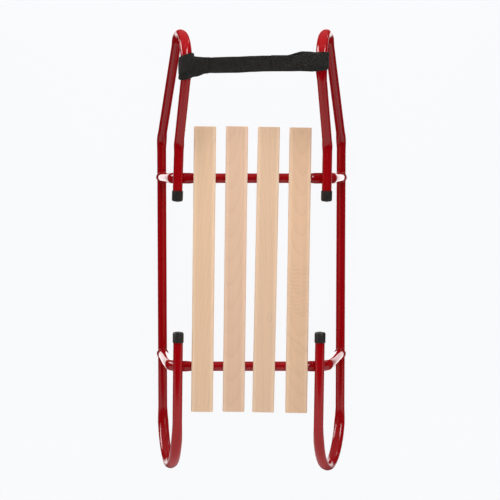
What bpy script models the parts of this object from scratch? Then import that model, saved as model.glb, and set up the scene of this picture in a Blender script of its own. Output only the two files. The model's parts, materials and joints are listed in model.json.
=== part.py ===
"""Tube-frame sled with wooden seat slats and a webbing pull strap, one object for each physical piece.

Metres, +Z up. +Y points to the raised front, -X is the rider's left, and the origin is on the ground
under the middle of the sled. Each side frame is one tube, bent in a plane that leans inward from its runner.
"""

import math

import bmesh
import bpy
from mathutils import Matrix, Vector

MM = 0.001
SHARP_ANGLE = math.radians(32)
X_AXIS = Vector((1, 0, 0))
Y_AXIS = Vector((0, 1, 0))
Z_AXIS = Vector((0, 0, 1))
GAP = 0.3 * MM  # clearance between two pieces that touch on the real object

# Finishes as colour, roughness and, for bare metal, metallic
RED_PAINT = ((0.42, 0.01, 0.02), 0.2)
CAP_PLASTIC = ((0.03, 0.028, 0.025), 0.5)
BEECH = ((0.68, 0.47, 0.31), 0.5)
ZINC = ((0.6, 0.6, 0.58), 0.35, 1.0)
WEBBING = ((0.022, 0.018, 0.015), 0.85)
CUTTER_GREY = ((0.5, 0.5, 0.5), 0.5)

# Tube stock, shared by the side frames and the crossmembers
TUBE_RADIUS = 8.5 * MM
TUBE_WALL = 1.5 * MM
TUBE_SIDES = 24
BORE_SIDES = 8
BEND_STEP = math.radians(9.5)
BEND_HALF_WIDTH = 10.0 * MM  # the large bends flatten the tube a little in their plane
BEND_HALF_HEIGHT = 7.5 * MM
KINK_FLATTENING = 0.5  # share of that in the slight bends
EASE_STEPS = 2  # bend steps over which the tube goes from round to flattened

# Side frames: runner, rear curl, kinked front riser, horn and the two short deck legs
LEFT = -1
RIGHT = 1
RUNNER_GAUGE = 330.0 * MM
RUNNER_HEIGHT = TUBE_RADIUS * math.cos(math.pi / TUBE_SIDES)  # a flat side of the tube lies on the ground
FRONT_LEAN = {LEFT: math.radians(13.65), RIGHT: math.radians(11.85)}  # the frame is welded a little askew
FRONT_SPLAY = {LEFT: math.radians(12.0), RIGHT: math.radians(-5.0)}  # lean lost per metre along a front leg
REAR_LEAN = {LEFT: math.radians(12.6), RIGHT: math.radians(15.7)}
REAR_TWIST = math.radians(4.6)  # per metre along the rear legs, which both veer to the left
FRONT_LEG_HEIGHT = 177.4 * MM  # centre of the deck legs above the ground
REAR_LEG_HEIGHT = 178.1 * MM
REAR_CURL_Y = {LEFT: -290.6 * MM, RIGHT: -293.5 * MM}
REAR_TUBE_END_Y = -131.6 * MM
FRONT_TUBE_END_Y = 96.7 * MM
FRONT_LEG_BEND_Y = 180.0 * MM
KINK_RADIUS = 45.0 * MM
RUNNER_KINK_Y = 205.4 * MM  # where the runner's line meets the riser's line
RISER_ANGLE = math.radians(44.4)
RISER_LENGTH = 201.3 * MM
HORN_RADIUS = 53.1 * MM
HORN_DESCENT = math.radians(31.0)

# Crossmembers: arched tubes that carry the slats and stand on the runners
FRONT_CROSS_Y = 134.6 * MM
REAR_CROSS_Y = -191.4 * MM
CROSS_HEIGHT = 163.8 * MM
SHOULDER_X = 114.0 * MM
SHOULDER_RADIUS = 28.0 * MM
SHOULDER_STEP = math.radians(13.5)
FLAT_HALF_WIDTH = 9.4 * MM  # the tight shoulder bend squeezes the round tube to an oval
FLAT_HALF_HEIGHT = 6.3 * MM
ROUND_UNTIL_X = 100.5 * MM
OVAL_FROM_X = 107.5 * MM
LEG_ROUND_AFTER = 30.0 * MM
COPE_HALF_LENGTH = 34.0 * MM
DRILL_HALF_LENGTH = 17.0 * MM

# Seat slats, set slightly across the runners
SLAT_WIDTH = 37.6 * MM
SLAT_PITCH = 54.1 * MM
SLAT_SHIFT_X = -1.2 * MM
SLAT_SKEW = math.radians(0.77)
CROOKED_SLAT_SKEW = math.radians(1.15)
SLAT_LENGTH = 490.6 * MM
SLAT_THICKNESS = 12.0 * MM
SLAT_CENTRE_Y = -23.3 * MM
SLAT_EDGE = 3.0 * MM
SLAT_END_EDGE = 0.8 * MM
SLAT_BOTTOM = CROSS_HEIGHT + TUBE_RADIUS + GAP
SLATS = {  # sideways and forward place of the middle, and skew; each is fitted a little differently
    "outer_left": (SLAT_SHIFT_X - 1.5 * SLAT_PITCH, SLAT_CENTRE_Y + 0.8 * MM, SLAT_SKEW),
    "inner_left": (SLAT_SHIFT_X - 0.5 * SLAT_PITCH + 0.4 * MM, SLAT_CENTRE_Y + 0.9 * MM, SLAT_SKEW),
    "inner_right": (SLAT_SHIFT_X + 0.5 * SLAT_PITCH - 1.0 * MM, SLAT_CENTRE_Y, CROOKED_SLAT_SKEW),
    "outer_right": (SLAT_SHIFT_X + 1.5 * SLAT_PITCH + 0.4 * MM, SLAT_CENTRE_Y - 1.1 * MM, SLAT_SKEW),
}

# Slat screws, driven up through both walls of a crossmember
SCREW_SHANK_RADIUS = 2.0 * MM
SCREW_HEAD_RADIUS = 4.2 * MM
SCREW_HEAD_HEIGHT = 2.8 * MM
SCREW_BITE = 8.5 * MM
SCREW_TIP = 2.5 * MM
SCREW_SIDES = 12
DRIVE_LENGTH = 4.6 * MM
DRIVE_WIDTH = 1.1 * MM
DRIVE_DEPTH = 1.6 * MM
HOLE_RADIUS = 2.4 * MM
PILOT_DEPTH = 9.3 * MM

# Tube end caps
CAP_RADIUS = 9.6 * MM
CAP_LENGTH = 19.2 * MM
CAP_END_WALL = 2.5 * MM
CAP_ROUND = 3.2 * MM
CAP_DOME = 1.1 * MM
CAP_ROUND_STEPS = 3

# Pull strap: flat webbing between the crowns of the two horns
WEB_THICKNESS = 1.6 * MM
BAND_WIDTH = 26.0 * MM
CHOKE_WIDTH = 34.0 * MM
CHOKE_REACH = 34.0 * MM  # from the left tube's centre to where the choke's layers meet
CHOKE_END = 38.5 * MM
CHOKE_BORE = (BEND_HALF_WIDTH + 1.2 * MM, TUBE_RADIUS + 1.2 * MM)  # half sizes across and up
LOOP_WIDTH = 31.0 * MM
LOOP_REACH = 50.0 * MM
LOOP_SEAM = 79.0 * MM
LOOP_BORE = (BEND_HALF_WIDTH + 1.4 * MM, TUBE_RADIUS + 1.3 * MM)
LOOP_SLACK = 0.7 * MM  # extra room beyond the right tube, taken up as the strap is lifted
STRAP_SHIFT = {LEFT: -6.8 * MM, RIGHT: 2.2 * MM}  # each end along its horn, from the crown
DRAPE_START = 12.0 * MM  # within this distance of the tube's centre the webbing follows the horn
DRAPE_END = 40.0 * MM  # beyond this distance it is flat
STRAP_SLICES = 6
STRAP_ARC_STEPS = 12
STRAP_HALF_GAP = 0.4 * MM


def clear_scene():
    for found in list(bpy.data.objects):
        bpy.data.objects.remove(found)


def material(name, colour, roughness, metallic=0.0):
    made = bpy.data.materials.new(name)
    made.use_nodes = True
    shader = made.node_tree.nodes["Principled BSDF"]
    shader.inputs["Base Color"].default_value = (*colour, 1.0)
    shader.inputs["Roughness"].default_value = roughness
    shader.inputs["Metallic"].default_value = metallic
    return made


def finish_mesh(name, bm, surface):
    """Turns a closed bmesh into a named object with outward faces and smooth round sides."""
    bmesh.ops.recalc_face_normals(bm, faces=bm.faces)
    mesh = bpy.data.meshes.new(name)
    bm.to_mesh(mesh)
    bm.free()
    mesh.shade_smooth()
    mesh.set_sharp_from_angle(angle=SHARP_ANGLE)
    mesh.materials.append(surface)
    made = bpy.data.objects.new(name, mesh)
    bpy.context.scene.collection.objects.link(made)
    return made


def make_cutter(name, bm):
    cutter = finish_mesh(name, bm, material(name + "_guide", *CUTTER_GREY))
    cutter.hide_render = True
    cutter.display_type = "WIRE"
    return cutter


def cut(target, cutter):
    boolean = target.modifiers.new("cut_" + cutter.name, "BOOLEAN")
    boolean.operation = "DIFFERENCE"
    boolean.solver = "EXACT"
    boolean.object = cutter


def circle_angles(count):
    """Angles of a polygon's corners, turned so that flat sides face up, down and sideways."""
    return [2 * math.pi * (i + 0.5) / count for i in range(count)]


def join_rings(bm, first, second):
    count = len(first)
    for i in range(count):
        after = (i + 1) % count
        bm.faces.new((first[i], first[after], second[after], second[i]))


def close_tube_end(bm, outer, inner):
    """Fills the flat ring between an outer outline and a bore with fewer corners."""
    ratio = len(outer) // len(inner)
    for j, corner in enumerate(inner):
        for k in range(ratio - 1):
            bm.faces.new((outer[j * ratio + k], outer[j * ratio + k + 1], corner))
        last = outer[j * ratio + ratio - 1]
        following = outer[(j + 1) * ratio % len(outer)]
        bm.faces.new((last, following, inner[(j + 1) % len(inner)], corner))


def section_ring(bm, station, sides, inset):
    centre, across, up, half_across, half_up = station
    return [
        bm.verts.new(
            centre
            + across * ((half_across - inset) * math.cos(angle))
            + up * ((half_up - inset) * math.sin(angle))
        )
        for angle in circle_angles(sides)
    ]


def hollow_tube(stations):
    """A tube with open ends through stations of (centre, across, up, half size across, half size up)."""
    bm = bmesh.new()
    outer = [section_ring(bm, station, TUBE_SIDES, 0.0) for station in stations]
    inner = [section_ring(bm, station, BORE_SIDES, TUBE_WALL) for station in stations]
    for rings in (outer, inner):
        for first, second in zip(rings, rings[1:]):
            join_rings(bm, first, second)
    close_tube_end(bm, outer[0], inner[0])
    close_tube_end(bm, outer[-1], inner[-1])
    return bm


class BendPath:
    """A tube bender's path in a plane: straights and arcs, kept as (along, up, heading, flattening) stops."""

    def __init__(self, along, up, heading):
        self.along = along
        self.up = up
        self.heading = heading
        self.stops = [(along, up, heading, 0.0)]

    def straight(self, length):
        self.along += length * math.cos(self.heading)
        self.up += length * math.sin(self.heading)
        self.stops.append((self.along, self.up, self.heading, 0.0))

    def bend(self, radius, angle, flattening, step=BEND_STEP):
        """Turns by angle, positive to the left of the heading, on an arc of the given radius."""
        turn = math.copysign(1.0, angle)
        centre_along = self.along - turn * radius * math.sin(self.heading)
        centre_up = self.up + turn * radius * math.cos(self.heading)
        start = self.heading
        steps = math.ceil(abs(angle) / step)
        for i in range(1, steps + 1):
            self.heading = start + angle * i / steps
            self.along = centre_along + turn * radius * math.sin(self.heading)
            self.up = centre_up - turn * radius * math.cos(self.heading)
            ease = min(1.0, i / EASE_STEPS, (steps - i) / EASE_STEPS)
            self.stops.append((self.along, self.up, self.heading, flattening * ease))


def lean_at(side, along):
    """How far a side frame leans inward from its runner; the frame is twisted a little along its length."""
    if along > 0:
        return FRONT_LEAN[side] - FRONT_SPLAY[side] * max(0.0, FRONT_LEG_BEND_Y - along)
    return REAR_LEAN[side] + side * REAR_TWIST * (REAR_CROSS_Y - along)


def leg_level(side, cross_y):
    """Distance of a deck leg from the runner, measured up the leaning plane where the crossmember is."""
    height = FRONT_LEG_HEIGHT if cross_y > 0 else REAR_LEG_HEIGHT
    return (height - RUNNER_HEIGHT) / math.cos(lean_at(side, cross_y))


def side_frame_path(side):
    """The side tube from its rear end, round the rear curl, along the runner and over the horn."""
    rear_level = leg_level(side, REAR_CROSS_Y)
    path = BendPath(REAR_TUBE_END_Y, rear_level, math.pi)
    path.straight(REAR_TUBE_END_Y - REAR_CROSS_Y)
    path.straight(REAR_CROSS_Y - REAR_CURL_Y[side])
    path.bend(rear_level / 2, math.pi, 1.0)
    kink_setback = KINK_RADIUS * math.tan(RISER_ANGLE / 2)
    path.straight(REAR_CROSS_Y - REAR_CURL_Y[side])
    path.straight(RUNNER_KINK_Y - kink_setback - REAR_CROSS_Y)
    path.bend(KINK_RADIUS, RISER_ANGLE, KINK_FLATTENING)
    path.straight(RISER_LENGTH)
    path.bend(HORN_RADIUS, math.pi + HORN_DESCENT - RISER_ANGLE, 1.0)
    drop = path.up - leg_level(side, FRONT_CROSS_Y) - KINK_RADIUS * (1 - math.cos(HORN_DESCENT))
    path.straight(drop / math.sin(HORN_DESCENT))
    path.bend(KINK_RADIUS, -HORN_DESCENT, KINK_FLATTENING)
    path.straight(path.along - FRONT_TUBE_END_Y)
    return path


def horn_centre():
    """Centre of the horn's arc as (along, up) in the side frame's plane."""
    setback = KINK_RADIUS * math.tan(RISER_ANGLE / 2)
    reach = RISER_LENGTH + setback
    along = RUNNER_KINK_Y + reach * math.cos(RISER_ANGLE) - HORN_RADIUS * math.sin(RISER_ANGLE)
    up = reach * math.sin(RISER_ANGLE) + HORN_RADIUS * math.cos(RISER_ANGLE)
    return along, up


def frame_point(side, along, up):
    """Maps a point of the side frame's leaning plane to the sled."""
    lean = lean_at(side, along)
    x = side * (RUNNER_GAUGE / 2 - up * math.sin(lean))
    return Vector((x, along, RUNNER_HEIGHT + up * math.cos(lean)))


def frame_turn(side, along, heading):
    """Rotation that carries the runner's cross-section to a place where the tube has this heading."""
    lean = lean_at(side, along)
    normal = Vector((math.cos(lean), 0, side * math.sin(lean)))
    return Matrix.Rotation(heading, 3, normal)


def oval(flattening, half_width, half_height):
    """Half sizes of the tube, between round and fully flattened."""
    across = TUBE_RADIUS + (half_width - TUBE_RADIUS) * flattening
    up = TUBE_RADIUS + (half_height - TUBE_RADIUS) * flattening
    return across, up


def make_side_tube(name, side, paint):
    stations = []
    for along, up, heading, flattening in side_frame_path(side).stops:
        turn = frame_turn(side, along, heading)
        size = oval(flattening, BEND_HALF_WIDTH, BEND_HALF_HEIGHT)
        stations.append((frame_point(side, along, up), turn @ X_AXIS, turn @ Z_AXIS, *size))
    return finish_mesh(name, hollow_tube(stations), paint)


def leg_angle():
    """Turn of the shoulder bend that aims the leg at the runner's centre line."""
    sideways = RUNNER_GAUGE / 2 - SHOULDER_X
    height = CROSS_HEIGHT - SHOULDER_RADIUS - RUNNER_HEIGHT
    reach = math.hypot(sideways, height)
    return math.atan2(height, sideways) + math.asin(SHOULDER_RADIUS / reach)


def crossmember_half():
    """Right half of the arch as (x, z, heading, flattening), from under the seat down to the runner."""
    turn = leg_angle()
    path = BendPath(OVAL_FROM_X, CROSS_HEIGHT, 0.0)
    path.straight(SHOULDER_X - OVAL_FROM_X)
    path.bend(SHOULDER_RADIUS, -turn, 1.0, SHOULDER_STEP)
    half = [(ROUND_UNTIL_X, CROSS_HEIGHT, 0.0, 0.0)]
    half.append(((ROUND_UNTIL_X + OVAL_FROM_X) / 2, CROSS_HEIGHT, 0.0, 0.5))
    half += [(x, z, heading, 1.0) for x, z, heading, _ in path.stops]
    remaining = math.hypot(RUNNER_GAUGE / 2 - path.along, path.up - RUNNER_HEIGHT)
    for distance, flattening in ((LEG_ROUND_AFTER / 2, 0.5), (LEG_ROUND_AFTER, 0.0), (remaining, 0.0)):
        x = path.along + distance * math.cos(path.heading)
        z = path.up + distance * math.sin(path.heading)
        half.append((x, z, path.heading, flattening))
    return half


def arch_shift(y):
    """Sideways shift of a crossmember's top, which follows the two deck legs that rest on it."""
    legs = [frame_point(side, y, leg_level(side, y)).x for side in (LEFT, RIGHT)]
    return sum(legs) / 2


def make_crossmember(name, y, paint):
    stations = []
    for x, z, heading, flattening in crossmember_half():
        up = Vector((-math.sin(heading), 0, math.cos(heading)))
        size = oval(flattening, FLAT_HALF_WIDTH, FLAT_HALF_HEIGHT)
        stations.append((Vector((x, y, z)), Y_AXIS, up, *size))
    mirrored = [
        (Vector((-c.x, c.y, c.z)), across, Vector((-up.x, 0, up.z)), *size)
        for c, across, up, *size in reversed(stations)
    ]
    stations = mirrored + stations
    for station in stations:
        centre = station[0]
        centre.x += arch_shift(y) * (centre.z - RUNNER_HEIGHT) / (CROSS_HEIGHT - RUNNER_HEIGHT)
    arch = finish_mesh(name, hollow_tube(stations), paint)
    cut(arch, crossmember_cutter(name + "_cutter", y))
    return arch


def add_cylinder(bm, start, end, radius, sides):
    """A closed cylinder between two points, with flat sides facing up, down and sideways."""
    direction = (end - start).normalized()
    across = Z_AXIS.cross(direction) if abs(direction.z) < 0.9 else X_AXIS
    up = direction.cross(across)
    rings = []
    for centre in (start, end):
        ring = [
            bm.verts.new(centre + across * (radius * math.cos(a)) + up * (radius * math.sin(a)))
            for a in circle_angles(sides)
        ]
        rings.append(ring)
    join_rings(bm, *rings)
    bm.faces.new(rings[0])
    bm.faces.new(reversed(rings[1]))


def crossmember_cutter(name, y):
    """Copes both feet to the runners and drills the four screw holes."""
    bm = bmesh.new()
    reach = Vector((0, COPE_HALF_LENGTH, 0))
    for side in (LEFT, RIGHT):
        runner = Vector((side * RUNNER_GAUGE / 2, y, RUNNER_HEIGHT))
        add_cylinder(bm, runner - reach, runner + reach, TUBE_RADIUS + GAP, TUBE_SIDES)
    for slat in SLATS:
        x = slat_x(slat, y)
        below = Vector((x, y, CROSS_HEIGHT - DRILL_HALF_LENGTH))
        above = Vector((x, y, CROSS_HEIGHT + DRILL_HALF_LENGTH))
        add_cylinder(bm, below, above, HOLE_RADIUS, SCREW_SIDES)
    return make_cutter(name, bm)


def slat_x(slat, y):
    """Where a slat's centre line is at a given y."""
    x, middle_y, skew = SLATS[slat]
    return x + (y - middle_y) * math.tan(skew)


def make_slat(name, place, wood):
    bm = bmesh.new()
    bmesh.ops.create_cube(bm, size=1.0)
    bmesh.ops.scale(bm, vec=(SLAT_WIDTH, SLAT_LENGTH, SLAT_THICKNESS), verts=bm.verts)
    long_edges = [edge for edge in bm.edges if edge.calc_length() > SLAT_LENGTH / 2]
    bmesh.ops.bevel(bm, geom=long_edges, offset=SLAT_EDGE, segments=3, profile=0.5, affect="EDGES")
    end_edges = [edge for edge in bm.edges if edge.calc_length() < SLAT_LENGTH / 2]
    bmesh.ops.bevel(bm, geom=end_edges, offset=SLAT_END_EDGE, segments=2, profile=0.5, affect="EDGES")
    slat = finish_mesh(name, bm, wood)
    x, middle_y, skew = SLATS[place]
    slat.location = (x, middle_y, SLAT_BOTTOM + SLAT_THICKNESS / 2)
    slat.rotation_euler = (0, 0, -skew)
    pilots = bmesh.new()
    for y in (FRONT_CROSS_Y, REAR_CROSS_Y):
        x = slat_x(place, y)
        below = Vector((x, y, SLAT_BOTTOM - PILOT_DEPTH))
        add_cylinder(pilots, below, Vector((x, y, SLAT_BOTTOM + PILOT_DEPTH)), HOLE_RADIUS, SCREW_SIDES)
    cut(slat, make_cutter(name + "_pilots", pilots))
    return slat


def lathe(profile, sides):
    """Revolves (radius, height) points about Z; the first and last point lie on the axis."""
    bm = bmesh.new()
    rings = []
    for radius, height in profile[1:-1]:
        corners = [(radius * math.cos(a), radius * math.sin(a), height) for a in circle_angles(sides)]
        rings.append([bm.verts.new(corner) for corner in corners])
    for first, second in zip(rings, rings[1:]):
        join_rings(bm, first, second)
    for (_, height), ring in ((profile[0], rings[0]), (profile[-1], rings[-1])):
        pole = bm.verts.new((0, 0, height))
        for i in range(sides):
            bm.faces.new((ring[i], ring[(i + 1) % sides], pole))
    return bm


def make_screw(name, x, y, steel):
    """Pan-head screw with a cross recess; its head bears on the underside of the crossmember."""
    seat = CROSS_HEIGHT - TUBE_RADIUS - GAP
    shank_top = SLAT_BOTTOM + SCREW_BITE - seat
    profile = [
        (0.0, -SCREW_HEAD_HEIGHT),
        (0.55 * SCREW_HEAD_RADIUS, -SCREW_HEAD_HEIGHT),
        (0.85 * SCREW_HEAD_RADIUS, -0.8 * SCREW_HEAD_HEIGHT),
        (SCREW_HEAD_RADIUS, -0.4 * SCREW_HEAD_HEIGHT),
        (SCREW_HEAD_RADIUS, 0.0),
        (SCREW_SHANK_RADIUS, 0.0),
        (SCREW_SHANK_RADIUS, shank_top - SCREW_TIP),
        (0.3 * SCREW_SHANK_RADIUS, shank_top),
        (0.0, shank_top),
    ]
    screw = finish_mesh(name, lathe(profile, SCREW_SIDES), steel)
    screw.location = (x, y, seat)
    cut(screw, cross_recess(name + "_recess", Vector((x, y, seat - SCREW_HEAD_HEIGHT))))
    return screw


def cross_recess(name, head_end):
    """A cross-shaped cutter, reaching equally far above and below the end of the screw head."""
    half, arm = DRIVE_WIDTH / 2, DRIVE_LENGTH / 2
    quarter = [Vector((arm, half, 0)), Vector((half, half, 0)), Vector((half, arm, 0))]
    outline = [Matrix.Rotation(i * math.pi / 2, 3, "Z") @ corner for i in range(4) for corner in quarter]
    bm = bmesh.new()
    rings = []
    for height in (-DRIVE_DEPTH, DRIVE_DEPTH):
        rings.append([bm.verts.new(head_end + corner + Vector((0, 0, height))) for corner in outline])
    join_rings(bm, *rings)
    for ring in rings:
        bm.faces.new(ring)
    return make_cutter(name, bm)


def cap_profile():
    """The cap from its domed outer end, over the rim and down its bore, along +Z into the tube's end."""
    dome_start = CAP_RADIUS - CAP_ROUND
    profile = [(0.0, 0.0)]
    for i in range(CAP_ROUND_STEPS + 1):
        angle = math.pi / 2 * i / CAP_ROUND_STEPS
        radius = dome_start + CAP_ROUND * math.sin(angle)
        profile.append((radius, CAP_DOME + CAP_ROUND * (1 - math.cos(angle))))
    profile.append((CAP_RADIUS, CAP_LENGTH))
    profile.append((TUBE_RADIUS + GAP, CAP_LENGTH))
    profile.append((TUBE_RADIUS + GAP, CAP_END_WALL))
    profile.append((0.0, CAP_END_WALL))
    return profile


def make_cap(name, side, tube_end_y, cross_y, plastic):
    """Push-on cap; its open rim faces along the deck leg, towards the crossmember."""
    cap = finish_mesh(name, lathe(cap_profile(), TUBE_SIDES), plastic)
    level = leg_level(side, cross_y)
    tube_end = frame_point(side, tube_end_y, level)
    inward = (frame_point(side, cross_y, level) - tube_end).normalized()
    cap.location = tube_end - inward * (CAP_END_WALL + GAP)
    cap.rotation_euler = inward.to_track_quat("Z", "Y").to_euler()
    return cap


def smooth_step(value, start, end):
    share = min(1.0, max(0.0, (value - start) / (end - start)))
    return share * share * (3 - 2 * share)


def teardrop(bore, centre, reach, thickness):
    """Outlines of webbing round a tube as matching (inward, up) points, outside and inside.

    The tube's centre is at inward 0, and both layers meet at inward reach. The bore is an oval with
    half sizes across and up.
    """
    across, up = bore
    slope = math.asin(across / (reach - centre))
    first = math.pi / 2 - slope
    outer = [(reach, thickness / math.cos(slope))]
    inner = [(reach, 0.0)]
    for i in range(STRAP_ARC_STEPS + 1):
        angle = first + (2 * math.pi - 2 * first) * i / STRAP_ARC_STEPS
        cosine, sine = math.cos(angle), math.sin(angle)
        outer.append((centre + (across + thickness) * cosine, (up + thickness) * sine))
        inner.append((centre + across * cosine, up * sine))
    outer.append((reach, -thickness / math.cos(slope)))
    return outer, inner


def crown_point(side):
    """Centre of the tube at the top of a horn, where the strap holds it."""
    horn_along, horn_up = horn_centre()
    return frame_point(side, horn_along, horn_up + HORN_RADIUS)


def strap_middle():
    return (crown_point(LEFT) + crown_point(RIGHT)) / 2


def strap_point(side, inward, up, offset):
    """Places a webbing point: draped over the curved horn near the tube, flat towards the middle."""
    horn_along, horn_up = horn_centre()
    crown, middle = crown_point(side), strap_middle()
    share = inward / abs(middle.x - crown.x)
    mean_shift = (STRAP_SHIFT[LEFT] + STRAP_SHIFT[RIGHT]) / 2
    along = STRAP_SHIFT[side] + (mean_shift - STRAP_SHIFT[side]) * share + offset
    flat = crown + Vector((-side * inward, along, up + (middle.z - crown.z) * share))
    bend = along / HORN_RADIUS
    centre = frame_point(
        side,
        horn_along + HORN_RADIUS * math.sin(bend),
        horn_up + HORN_RADIUS * math.cos(bend),
    )
    turned = frame_turn(side, horn_along, -bend) @ Vector((-side * inward, 0, up))
    return (centre + turned).lerp(flat, smooth_step(inward, DRAPE_START, DRAPE_END))


def make_strap_half(name, side, bore, slack, reach, double_until, width_at, webbing):
    """Half of the strap: its loop round one horn and its band, ending at the middle of the strap.

    The band is doubled from where the loop's layers meet, at reach, until double_until.
    """
    end = abs(strap_middle().x - crown_point(side).x) - STRAP_HALF_GAP
    steps = [
        (end, WEB_THICKNESS / 2),
        (double_until + WEB_THICKNESS, WEB_THICKNESS / 2),
        (double_until, WEB_THICKNESS),
    ]
    outer, inner = teardrop(bore, -slack, reach, WEB_THICKNESS)
    bm = bmesh.new()
    slices = []
    for i in range(STRAP_SLICES + 1):
        share = i / STRAP_SLICES - 0.5

        def vertex(inward, up, share=share):
            return bm.verts.new(strap_point(side, inward, up, share * width_at(inward)))

        top = [vertex(inward, half) for inward, half in steps]
        bottom = [vertex(inward, -half) for inward, half in steps]
        slices.append((top, [vertex(*p) for p in outer], bottom, [vertex(*p) for p in inner]))
    for first, second in zip(slices, slices[1:]):
        join_rings(bm, contour(first), contour(second))
        join_rings(bm, first[3], second[3])
    for top, outside, bottom, inside in (slices[0], slices[-1]):
        close_strap_edge(bm, top, outside, bottom, inside)
    return finish_mesh(name, bm, webbing)


def contour(strap_slice):
    top, outside, bottom, _ = strap_slice
    return top + outside + bottom[::-1]


def close_strap_edge(bm, top, outside, bottom, inside):
    """Fills one long edge of the strap: the band first, then the ring round the tube."""
    for i in range(len(top) - 1):
        bm.faces.new((top[i], top[i + 1], bottom[i + 1], bottom[i]))
    apex = inside[0]
    bm.faces.new((top[-1], outside[0], apex))
    bm.faces.new((top[-1], apex, bottom[-1]))
    bm.faces.new((bottom[-1], apex, outside[-1]))
    ring = inside + [apex]
    for i in range(len(outside) - 1):
        bm.faces.new((outside[i], outside[i + 1], ring[i + 1], ring[i]))


def choke_width(inward):
    """The left end is bunched round the tube and narrows to the plain band."""
    return CHOKE_WIDTH + (BAND_WIDTH - CHOKE_WIDTH) * smooth_step(inward, TUBE_RADIUS, CHOKE_REACH)


def loop_width(inward):
    return LOOP_WIDTH + (BAND_WIDTH - LOOP_WIDTH) * smooth_step(inward, TUBE_RADIUS, LOOP_REACH)


def make_straps(webbing):
    make_strap_half(
        "pull_strap_left", LEFT, CHOKE_BORE, 0.0, CHOKE_REACH, CHOKE_END, choke_width, webbing
    )
    make_strap_half(
        "pull_strap_right", RIGHT, LOOP_BORE, LOOP_SLACK, LOOP_REACH, LOOP_SEAM, loop_width, webbing
    )


def make_sled():
    clear_scene()
    ends = {"front": (FRONT_TUBE_END_Y, FRONT_CROSS_Y), "rear": (REAR_TUBE_END_Y, REAR_CROSS_Y)}
    for word, side in (("left", LEFT), ("right", RIGHT)):
        make_side_tube(word + "_side_tube", side, material(word + "_tube_paint", *RED_PAINT))
        for end, (tube_end_y, cross_y) in ends.items():
            name = f"{end}_{word}_cap"
            make_cap(name, side, tube_end_y, cross_y, material(name + "_plastic", *CAP_PLASTIC))
    for end, (_, y) in ends.items():
        name = end + "_crossmember"
        make_crossmember(name, y, material(name + "_paint", *RED_PAINT))
    for place in SLATS:
        make_slat("slat_" + place, place, material(f"slat_{place}_beech", *BEECH))
        for end, (_, y) in ends.items():
            name = f"{end}_screw_{place}"
            make_screw(name, slat_x(place, y), y, material(name + "_zinc", *ZINC))
    make_straps(material("strap_webbing", *WEBBING))


make_sled()
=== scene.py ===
"""Looks of the tube-frame sled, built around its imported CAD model.

Metres, +Z up, +Y forward. The tubes, slats, caps and screws keep their shapes and get their materials here.
The plain strap solids are replaced by one length of sewn webbing, and weld beads are added where tubes meet.
"""

import json
import math

import bmesh
import bpy
from mathutils import Matrix, Vector, noise


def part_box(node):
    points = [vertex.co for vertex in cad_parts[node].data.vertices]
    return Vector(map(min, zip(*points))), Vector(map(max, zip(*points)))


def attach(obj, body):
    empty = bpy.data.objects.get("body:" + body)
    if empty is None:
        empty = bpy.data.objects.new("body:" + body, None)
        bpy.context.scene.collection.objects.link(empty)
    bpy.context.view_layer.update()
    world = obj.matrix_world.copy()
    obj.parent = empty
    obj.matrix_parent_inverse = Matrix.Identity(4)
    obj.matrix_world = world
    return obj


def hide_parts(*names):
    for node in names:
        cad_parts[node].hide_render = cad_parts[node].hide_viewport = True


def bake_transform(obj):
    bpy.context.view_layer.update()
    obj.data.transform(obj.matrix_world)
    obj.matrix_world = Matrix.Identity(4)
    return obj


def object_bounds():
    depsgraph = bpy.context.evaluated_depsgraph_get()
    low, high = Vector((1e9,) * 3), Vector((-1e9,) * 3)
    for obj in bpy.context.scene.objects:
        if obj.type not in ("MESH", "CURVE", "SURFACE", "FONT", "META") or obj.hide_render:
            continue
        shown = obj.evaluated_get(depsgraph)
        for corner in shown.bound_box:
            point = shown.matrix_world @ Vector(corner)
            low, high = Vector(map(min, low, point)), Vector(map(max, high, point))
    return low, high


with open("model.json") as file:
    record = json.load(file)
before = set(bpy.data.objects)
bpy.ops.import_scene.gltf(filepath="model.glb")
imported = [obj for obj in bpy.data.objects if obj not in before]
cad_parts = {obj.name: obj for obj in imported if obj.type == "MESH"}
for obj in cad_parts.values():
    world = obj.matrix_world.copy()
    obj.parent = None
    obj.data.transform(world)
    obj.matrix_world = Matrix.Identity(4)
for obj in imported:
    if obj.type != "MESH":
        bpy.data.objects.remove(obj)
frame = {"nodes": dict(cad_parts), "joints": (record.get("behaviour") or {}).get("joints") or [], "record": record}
CAD_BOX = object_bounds()

MM = 0.001
LEFT, RIGHT = -1, 1
SIDE_WORDS = {LEFT: "left", RIGHT: "right"}
Y_AXIS = Vector((0, 1, 0))

# Steel tube, as the CAD model bends it
TUBE_RADIUS = 8.5 * MM
HORN_RADIUS = 53.1 * MM
HORN_HALF_WIDTH = 10.0 * MM  # the bend flattens the tube in its plane
HORN_FLATTENING = 1.9 * MM
CAD_GAP = 0.3 * MM  # between two pieces that touch
SHOULDER_X = 114.0 * MM
SHOULDER_RADIUS = 28.0 * MM
SHOULDER_HALF_HEIGHT = 6.3 * MM
SHOULDER_HALF_WIDTH = 9.4 * MM
# A deck leg's run towards +X for each length forward
LEG_VEER = {"front_left": 0.0354, "front_right": 0.0148, "rear_left": 0.0135, "rear_right": 0.0135}

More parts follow.
